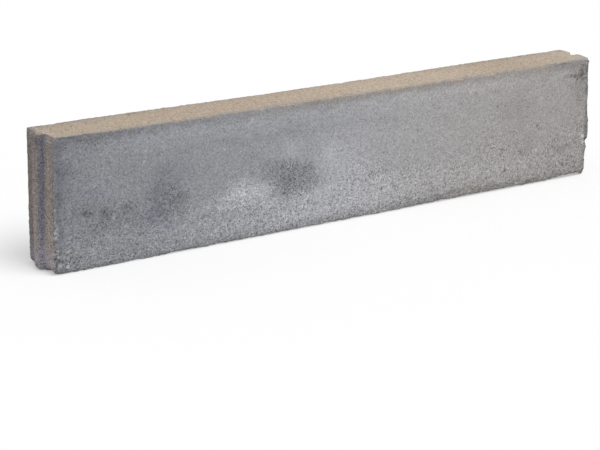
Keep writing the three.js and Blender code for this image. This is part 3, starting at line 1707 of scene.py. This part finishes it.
CASTING = Casting(
    reliefs={
        **dict.fromkeys(LONG_FACES, Relief(sag=0.30, ripple=0.12, grit=0.12)),
        **dict.fromkeys(ENDS, Relief(sag=0.20, ripple=0.30, grit=0.45)),
        Face.TOP: Relief(sag=0.20, ripple=0.20, grit=0.30),
        Face.FOOT: Relief(sag=0.20, ripple=0.30, grit=0.35),
    },
    top_wear=EdgeWear(loss=0.15, ragged=0.6, gaps=1.2, reach=2.2),
    foot_wear=EdgeWear(loss=1.1, ragged=1.3, gaps=3.0, reach=4.0),
    upright_wear=EdgeWear(loss=0.2, ragged=0.5, gaps=0.6, reach=2.4),
    chips=(
        # The front corner of the groove end.
        Chip(1000, 0, 187, reach=(13, 13, 52), depth=5.6, rough=0.35),
        Chip(1000, 0, 140, reach=(9, 10, 56), depth=3.7, rough=0.45),
        Chip(1001, -1, 28, reach=(8, 11, 34), depth=3.2),
        Chip(1000, 0, 57, reach=(7, 10, 7), depth=3.8),
        Chip(1003, -3, -2, reach=(17, 17, 16), depth=4.6),
        # The front edges of the foot and the top by that corner, and of the top by the tongue.
        Chip(945, -1, -3, reach=(66, 9, 9), depth=5.2, tone=0.08),
        Chip(968, 3, -1, reach=(38, 18, 8), depth=4.2, tone=0.04),
        Chip(935, -1, 202, reach=(36, 9, 9), depth=4.0, tone=-0.08),
        Chip(30, -1, 202, reach=(44, 8, 8), depth=3.0, tone=-0.04),
        # The foot's front edge.
        Chip(780, -1, -3, reach=(250, 9, 8), depth=3.8, tone=0.05),
        Chip(560, -1, -3, reach=(440, 7, 6), depth=1.6),
        Chip(198, -1, -2, reach=(15, 8, 6), depth=2.6),
        # The edges of the tongue end.
        Chip(-2, 83, -3, reach=(12, 13, 9), depth=4.5),
        Chip(-9, 56, -2, reach=(14, 16, 14), depth=6.0),
        Chip(-1, 14, -2, reach=(10, 24, 11), depth=3.8),
        Chip(0, -1, -1, reach=(11, 11, 11), depth=3.0),
        Chip(-2, 12, 203, reach=(13, 30, 12), depth=4.8),
        Chip(-4, 45, 203, reach=(15, 24, 11), depth=4.2, tone=-0.03),
        Chip(-1, 70, 203, reach=(11, 16, 11), depth=3.6),
        # The back's edges.
        Chip(470, 82, 203, reach=(400, 13, 9), depth=2.2, rough=0.25),
        Chip(610, 81, -1, reach=(18, 8, 9), depth=3.0),
        Chip(242, 81, 201, reach=(9, 7, 6), depth=2.0),
    ),
    # A hole's darker tone is painted shade in it; a pale grain's tone is its own colour.
    pits=(
        # Holes along the front.
        Pit(887, 100, radius=2.8, depth=1.3, tone=-0.55),
        Pit(890, 95, radius=2.4, depth=0.8, tone=-0.25),
        Pit(814, 69, radius=2.8, depth=1.3, tone=-0.55),
        Pit(810, 61, radius=2.4),
        Pit(821, 34, radius=2.8, depth=1.2, tone=-0.62),
        Pit(784, 26, radius=2.8, depth=1.0, tone=-0.50),
        Pit(791, 25, radius=2.4, depth=0.8, tone=-0.25),
        Pit(830, 41, radius=2.4, depth=0.8, tone=-0.25),
        Pit(571, 42, tone=-0.35),
        Pit(545, 67, radius=2.8, depth=1.0, tone=-0.40),
        Pit(551, 72),
        Pit(580, 70, radius=2.4),
        Pit(493, 115),
        Pit(472, 72),
        Pit(638, 126),
        Pit(753, 171),
        Pit(800, 145),
        Pit(82, 81, radius=3.0, depth=1.0, tone=-0.34),
        Pit(52, 86, depth=0.8, tone=-0.24),
        # Holes by the foot of the tongue end.
        Pit(1, 27, radius=2.4, depth=1.0, tone=-0.40),
        Pit(4, 26, radius=2.4, depth=1.0, tone=-0.40),
        Pit(9, 20, radius=2.8, depth=1.2, tone=-0.50),
        Pit(14, 18, radius=2.8, depth=1.2, tone=-0.45),
        Pit(18, 15, radius=2.4, depth=1.0, tone=-0.40),
        Pit(4, 14, depth=1.0, tone=-0.40),
        Pit(27, 22, depth=1.0, tone=-0.35),
        Pit(33, 13, depth=1.0, tone=-0.35),
        Pit(41, 17, radius=2.4),
        Pit(22, 29, radius=2.4),
        # Pale grains.
        Pit(0, 30, radius=2.2, depth=0.0, tone=0.30),
        Pit(7, 29, radius=2.2, depth=0.0, tone=0.35),
        Pit(11, 13, radius=2.0, depth=0.0, tone=0.34),
        Pit(22, 10, radius=2.0, depth=0.0, tone=0.32),
        Pit(20, 23, radius=2.2, depth=0.0, tone=0.22),
        Pit(147, 147, radius=2.4, depth=0.0, tone=0.16),
        Pit(282, 146, radius=2.2, depth=0.0, tone=0.12),
        Pit(310, 138, radius=2.2, depth=0.0, tone=0.12),
        Pit(594, 53, radius=3.0, depth=0.0, tone=0.16),
        Pit(560, 58, depth=0.0, tone=0.14),
        Pit(553, 46, radius=2.4, depth=0.0, tone=0.14),
        Pit(493, 40, radius=2.4, depth=0.0, tone=0.12),
        Pit(440, 66, radius=2.4, depth=0.0, tone=0.12),
        Pit(887, 58, radius=3.0, depth=0.0, tone=0.26),
        Pit(865, 103, depth=0.0, tone=0.18),
        Pit(850, 46, radius=2.4, depth=0.0, tone=0.16),
        Pit(2, 98, radius=2.2, depth=0.0, tone=0.22),
        Pit(2, 82, radius=2.2, depth=0.0, tone=0.30),
        Pit(2, 65, radius=2.2, depth=0.0, tone=0.26),
        Pit(6, 70, radius=2.2, depth=0.0, tone=0.20),
        Pit(3, 57, radius=2.2, depth=0.0, tone=0.28),
        Pit(5, 36, radius=2.4, depth=0.0, tone=0.22),
        Pit(986, 70, radius=3.2, depth=0.0, tone=0.65),
        Pit(989, 66, depth=0.0, tone=0.45),
        Pit(988, 59, radius=2.8, depth=0.0, tone=0.55),
        # Holes by the groove end's corner, and along the foot under it.
        Pit(992, 65, depth=0.8, tone=-0.45),
        Pit(955, 176, radius=2.8, depth=0.8),
        Pit(962, 173, radius=3.2, depth=1.0, tone=-0.35),
        Pit(969, 169, radius=3.0, depth=1.0, tone=-0.40),
        Pit(977, 175, radius=2.8, tone=-0.35),
        Pit(965, 164, radius=2.4, depth=0.8, tone=-0.25),
        Pit(948, 174, radius=2.4, depth=0.7, tone=-0.20),
        Pit(947, 25, radius=2.8, tone=-0.38),
        Pit(954, 23, tone=-0.34),
        Pit(940, 28, radius=2.4, depth=0.8, tone=-0.26),
        Pit(970, 17, radius=2.8, tone=-0.36),
        Pit(928, 14, radius=2.4, depth=0.8),
        Pit(909, 13, radius=2.4, depth=0.8, tone=-0.26),
        # Holes along the top's back edge.
        Pit(17, 200, radius=2.4, depth=0.5, tone=-0.35, across=77),
        Pit(36, 200, radius=2.4, depth=0.5, tone=-0.35, across=77),
        Pit(29, 200, radius=2.2, depth=0.4, tone=-0.25, across=79),
    ),
    crumbs=(
        Crumb(89, 79, radius=5.0),
        Crumb(100, 79, radius=4.0),
        Crumb(112, 79, radius=3.0),
        Crumb(176, 0, radius=3.0),
        Crumb(36, 1, radius=3.0),
    ),
    burrs=(Burr(994, 31, 200, reach=(9, 11, 22), push=(4.0, 7.0, 1.5)),),
)

STAINS = (
    # The dark lean patch low in the middle, and the paler ones round it.
    Stain(404, 84, reach=46, rise=25, tone=-0.17, coarse=0.8),
    Stain(400, 60, reach=18, rise=12, tone=-0.045, coarse=0.3),
    Stain(366, 106, reach=26, rise=14, tone=-0.06, coarse=0.4),
    Stain(330, 124, reach=26, rise=10, tone=-0.04),
    Stain(398, 126, reach=14, rise=16, tone=0.06),
    Stain(348, 73, reach=17, rise=13, tone=0.13, coarse=0.3),
    Stain(310, 84, reach=22, rise=17, tone=0.15, coarse=0.3),
    Stain(304, 64, reach=40, rise=15, tone=0.12),
    Stain(254, 62, reach=20, rise=10, tone=0.04),
    Stain(370, 52, reach=20, rise=9, tone=0.06),
    Stain(460, 54, reach=16, rise=12, tone=0.05),
    Stain(474, 100, reach=20, rise=28, tone=0.05),
    Stain(490, 92, reach=44, rise=46, tone=0.045),
    Stain(430, 36, reach=170, rise=24, tone=0.045),
    # The dark patches towards the tongue end, some of them cool.
    Stain(176, 92, reach=32, rise=28, tone=-0.12, warmth=-0.25, coarse=0.3),
    Stain(164, 64, reach=28, rise=14, tone=-0.10, warmth=-0.25),
    Stain(206, 78, reach=12, rise=24, tone=-0.11),
    Stain(188, 132, reach=36, rise=9, tone=-0.04),
    Stain(28, 150, reach=20, rise=10, tone=-0.05),
    Stain(56, 94, reach=24, rise=9, tone=-0.06),
    Stain(118, 21, reach=32, rise=8, tone=-0.07),
    Stain(190, 120, reach=50, rise=14, tone=-0.03, warmth=-0.1),
    Stain(54, 85, reach=15, rise=7, tone=-0.09, coarse=0.4),
    Stain(84, 80, reach=15, rise=8, tone=-0.14, warmth=-0.1, coarse=0.5),
    Stain(118, 78, reach=16, rise=9, tone=-0.13, coarse=0.5),
    Stain(68, 63, reach=22, rise=10, tone=-0.10, coarse=0.3),
    Stain(114, 60, reach=22, rise=9, tone=-0.08, coarse=0.3),
    Stain(178, 42, reach=26, rise=8, tone=-0.04, warmth=-0.25),
    Stain(60, 112, reach=22, rise=9, tone=-0.02, warmth=-0.3),
    # The tongue end's corner.
    Stain(1, 58, reach=6, rise=30, tone=0.09),
    Stain(12, 148, reach=10, rise=16, tone=-0.06, warmth=-0.1),
    Stain(8, 112, reach=8, rise=14, tone=-0.05),
    Stain(5, 180, reach=8, rise=10, tone=-0.05),
    # Long faint streaks.
    Stain(420, 156, reach=190, rise=8, tone=-0.035),
    Stain(230, 170, reach=150, rise=10, tone=0.025),
    Stain(220, 182, reach=150, rise=7, tone=0.045),
    Stain(750, 180, reach=150, rise=9, tone=0.05),
    # The groove end's half, and the edge of the foot.
    Stain(830, 138, reach=36, rise=18, tone=-0.035),
    Stain(860, 56, reach=24, rise=9, tone=-0.045),
    Stain(952, 59, reach=20, rise=8, tone=-0.06),
    Stain(925, 56, reach=24, rise=20, tone=-0.055, coarse=0.4),
    Stain(945, 28, reach=46, rise=12, tone=-0.05, coarse=0.5),
    Stain(800, 18, reach=190, rise=14, tone=-0.04),
    Stain(690, 8, reach=230, rise=8, tone=-0.09, warmth=0.1),
    Stain(930, 6, reach=60, rise=7, tone=-0.06, warmth=0.1),
    Stain(40, 9, reach=60, rise=8, tone=0.05),
    # The groove end's corner.
    Stain(955, 175, reach=9, rise=5, tone=-0.12, warmth=0.1, coarse=0.6),
    Stain(974, 172, reach=14, rise=11, tone=-0.15, warmth=0.35, coarse=0.8),
    Stain(982, 182, reach=15, rise=9, tone=-0.15, warmth=0.1, coarse=0.4),
    Stain(996, 176, reach=9, rise=13, tone=-0.12),
    Stain(995, 146, reach=8, rise=10, tone=-0.07),
    Stain(994, 134, reach=8, rise=8, tone=0.06),
    Stain(994, 112, reach=7, rise=10, tone=-0.08),
    Stain(990, 150, reach=9, rise=9, tone=-0.06),
    # Small marks all along.
    Stain(930, 192, reach=30, rise=8, tone=-0.02),
    Stain(876, 160, reach=22, rise=8, tone=0.04),
    Stain(874, 76, reach=20, rise=7, tone=-0.05),
    Stain(730, 9, reach=70, rise=6, tone=-0.05),
    Stain(676, 28, reach=20, rise=8, tone=-0.06),
    Stain(668, 9, reach=26, rise=6, tone=-0.03, warmth=-0.25),
    Stain(700, 4, reach=200, rise=5, tone=0.06),
    Stain(925, 182, reach=20, rise=7, tone=0.04),
    Stain(978, 158, reach=16, rise=8, tone=0.05),
    Stain(576, 52, reach=20, rise=8, tone=0.06),
    Stain(574, 148, reach=22, rise=8, tone=-0.05),
    Stain(60, 182, reach=14, rise=7, tone=-0.06),
    Stain(50, 76, reach=14, rise=6, tone=-0.05),
    Stain(42, 18, reach=10, rise=6, tone=-0.06),
    Stain(14, 18, reach=11, rise=6, tone=0.05),
    Stain(980, 150, reach=16, rise=18, tone=-0.08),
    Stain(960, 150, reach=14, rise=8, tone=-0.04),
    Stain(340, 73, reach=24, rise=12, tone=0.055),
    Stain(425, 81, reach=12, rise=9, tone=0.055),
    Stain(211, 66, reach=12, rise=9, tone=0.06),
    Stain(297, 62, reach=12, rise=9, tone=0.045),
    Stain(180, 8, reach=20, rise=7, tone=0.065),
    Stain(160, 190, reach=16, rise=7, tone=0.055),
    Stain(530, 60, reach=14, rise=10, tone=0.045),
    Stain(396, 97, reach=10, rise=8, tone=0.05),
    Stain(87, 93, reach=12, rise=9, tone=-0.06),
    Stain(562, 35, reach=14, rise=9, tone=-0.05),
    Stain(984, 17, reach=10, rise=8, tone=-0.055),
    Stain(833, 13, reach=14, rise=7, tone=-0.045),
    Stain(127, 45, reach=12, rise=8, tone=-0.05),
    Stain(80, 48, reach=12, rise=7, tone=-0.045),
    Stain(76, 13, reach=12, rise=7, tone=-0.045),
    Stain(702, 10, reach=14, rise=7, tone=-0.045),
    Stain(700, 135, reach=20, rise=12, tone=-0.035),
    Stain(715, 37, reach=16, rise=10, tone=-0.04),
    Stain(491, 34, reach=14, rise=9, tone=-0.04),
    Stain(625, 14, reach=30, rise=8, warmth=-0.12),
    Stain(766, 10, reach=26, rise=8, warmth=0.12),
    Stain(886, 167, reach=12, rise=8, tone=0.04),
    Stain(20, 20, reach=28, rise=16, tone=0.015, warmth=0.22, coarse=0.6),
    Stain(138, 162, reach=12, rise=8, tone=0.045),
    Stain(288, 92, reach=10, rise=8, tone=0.045),
    Stain(128, 8, reach=26, rise=6, tone=0.05),
    Stain(345, 8, reach=18, rise=6, tone=0.045),
    Stain(559, 10, reach=16, rise=6, tone=0.045),
    Stain(450, 11, reach=18, rise=6, tone=-0.04),
    Stain(274, 23, reach=12, rise=8, tone=0.045),
    Stain(73, 186, reach=12, rise=7, tone=-0.045),
    Stain(264, 73, reach=9, rise=8, tone=0.04),
    Stain(544, 88, reach=12, rise=20, tone=0.035),
    Stain(334, 178, reach=18, rise=7, tone=0.035),
    Stain(948, 45, reach=10, rise=7, tone=0.04),
    Stain(779, 66, reach=16, rise=9, tone=-0.03),
    Stain(629, 64, reach=16, rise=9, tone=-0.03),
)

WEATHERING = Weathering(
    staining=Staining(STAINS),
    long_skin=LongSkin(
        along=Drift(
            (
                (0, 0.80, 0.12),
                (3, 0.78, 0.08),
                (9, 0.785, 0.08),
                (13, 0.82, 0.08),
                (20, 0.86, 0.10),
                (42, 0.885, 0.18),
                (75, 0.92, 0.24),
                (250, 0.96, 0.28),
                (400, 1.02, 0.33),
                (520, 1.06, 0.40),
                (620, 1.06, 0.58),
                (760, 1.04, 0.73),
                (860, 1.01, 0.79),
                (940, 1.02, 0.79),
                (972, 0.99, 0.83),
                (985, 0.98, 0.83),
                (989, 0.92, 0.83),
                (993, 0.80, 0.83),
                (1000, 0.62, 0.83),
            )
        ),
        # The long faces are painted darker in their lowest 12 mm, as shade on the worn foot edge that
        # faces down.
        up=Drift(
            (
                (0, -0.17, 0.15),
                (3, -0.12, 0.10),
                (7, -0.05, 0.05),
                (12, 0.0, 0.02),
                (20, 0.035, 0.0),
                (40, 0.03, 0.0),
                (62, 0.01, 0.0),
                (80, 0.0, 0.0),
                (200, 0.0, 0.0),
            )
        ),
        top_band=Drift(
            (
                (0, -0.09, 0.05),
                (60, -0.13, 0.05),
                (130, -0.10, 0.05),
                (200, -0.06, 0.12),
                (330, -0.05, 0.2),
                (400, -0.07, 0.4),
                (450, -0.12, 0.6),
                (600, -0.13, 0.5),
                (680, -0.10, 0.3),
                (760, -0.07, 0.2),
                (880, -0.04, 0.45),
                (940, -0.12, 0.35),
                (965, -0.09, 0.35),
                (1000, -0.09, 0.35),
            )
        ),
    ),
    end_skin=EndSkin(
        # The dip in tone at 25 to 29 mm, by the tongue's root, is painted shade in that recess.
        across=Drift(
            (
                (0, 1.06, 0.52),
                (4, 1.04, 0.64),
                (7, 1.03, 0.72),
                (10, 1.05, 0.92),
                (16, 1.06, 0.90),
                (19, 1.06, 0.78),
                (22.5, 1.05, 0.60),
                (24.5, 1.03, 0.38),
                (25.5, 0.94, 0.20),
                (26.5, 0.90, 0.04),
                (28.0, 0.93, 0.0),
                (29.5, 0.99, 0.10),
                (31.0, 1.0, 0.34),
                (33.0, 1.0, 0.62),
                (40, 1.04, 0.70),
                (44, 1.02, 0.70),
                (47, 0.96, 0.70),
                (52, 0.91, 0.68),
                (66, 0.91, 0.66),
                (76, 0.87, 0.62),
                (80, 0.78, 0.58),
            )
        ),
        # The ends are painted lighter near the foot, as light bounced up from the floor.
        up=Drift(
            (
                (0, 0.02, -0.05),
                (4, 0.08, -0.05),
                (14, 0.20, -0.05),
                (24, 0.17, -0.05),
                (40, 0.09, 0.0),
                (70, 0.04, 0.0),
                (100, 0.02, 0.0),
                (128, -0.01, 0.0),
                (158, -0.01, 0.04),
                (200, -0.02, -0.12),
            )
        ),
    ),
    sandy_top=SandyTop(
        along=Drift(
            (
                (0, 0.96, 0.5),
                (7, 0.98, 0.3),
                (10, 1.06, 0.3),
                (16, 0.98, 0.65),
                (40, 0.97, 0.88),
                (100, 0.99, 0.9),
                (250, 0.99, 0.95),
                (400, 1.005, 0.92),
                (560, 1.05, 0.88),
                (690, 1.055, 0.88),
                (780, 1.01, 0.92),
                (850, 0.99, 0.92),
                (960, 1.03, 0.75),
                (985, 1.05, 0.6),
                (1000, 1.08, 0.3),
            )
        ),
        across=Drift(
            (
                (0, -0.12, -0.55),
                (4, -0.05, -0.5),
                (9, 0.0, -0.45),
                (15, 0.0, -0.25),
                (22, 0.0, -0.05),
                (50, 0.0, 0.0),
                (62, -0.02, -0.2),
                (70, -0.04, -0.3),
                (76, -0.07, -0.4),
                (80, -0.14, -0.5),
            )
        ),
        lip=Profile(
            (
                (0, -8.0),
                (22, -7.0),
                (40, -6.0),
                (56, -7.0),
                (70, -3.5),
                (86, 0.0),
                (200, 0.2),
                (400, 0.6),
                (698, 0.8),
                (712, 3.4),
                (726, 3.0),
                (738, 0.6),
                (756, -3.0),
                (772, 0.6),
                (862, 0.6),
                (878, 2.6),
                (894, 1.0),
                (914, -7.0),
                (945, -4.5),
                (975, -1.0),
                (1000, -1.0),
            )
        ),
    ),
)


def main() -> None:
    """Builds the studio and the stone."""
    logging.basicConfig(level=logging.INFO, format="%(message)s")
    Studio().build()
    KerbStone(StoneForm(), CASTING, WEATHERING, PressedConcrete()).build()


if __name__ == "__main__":
    main()
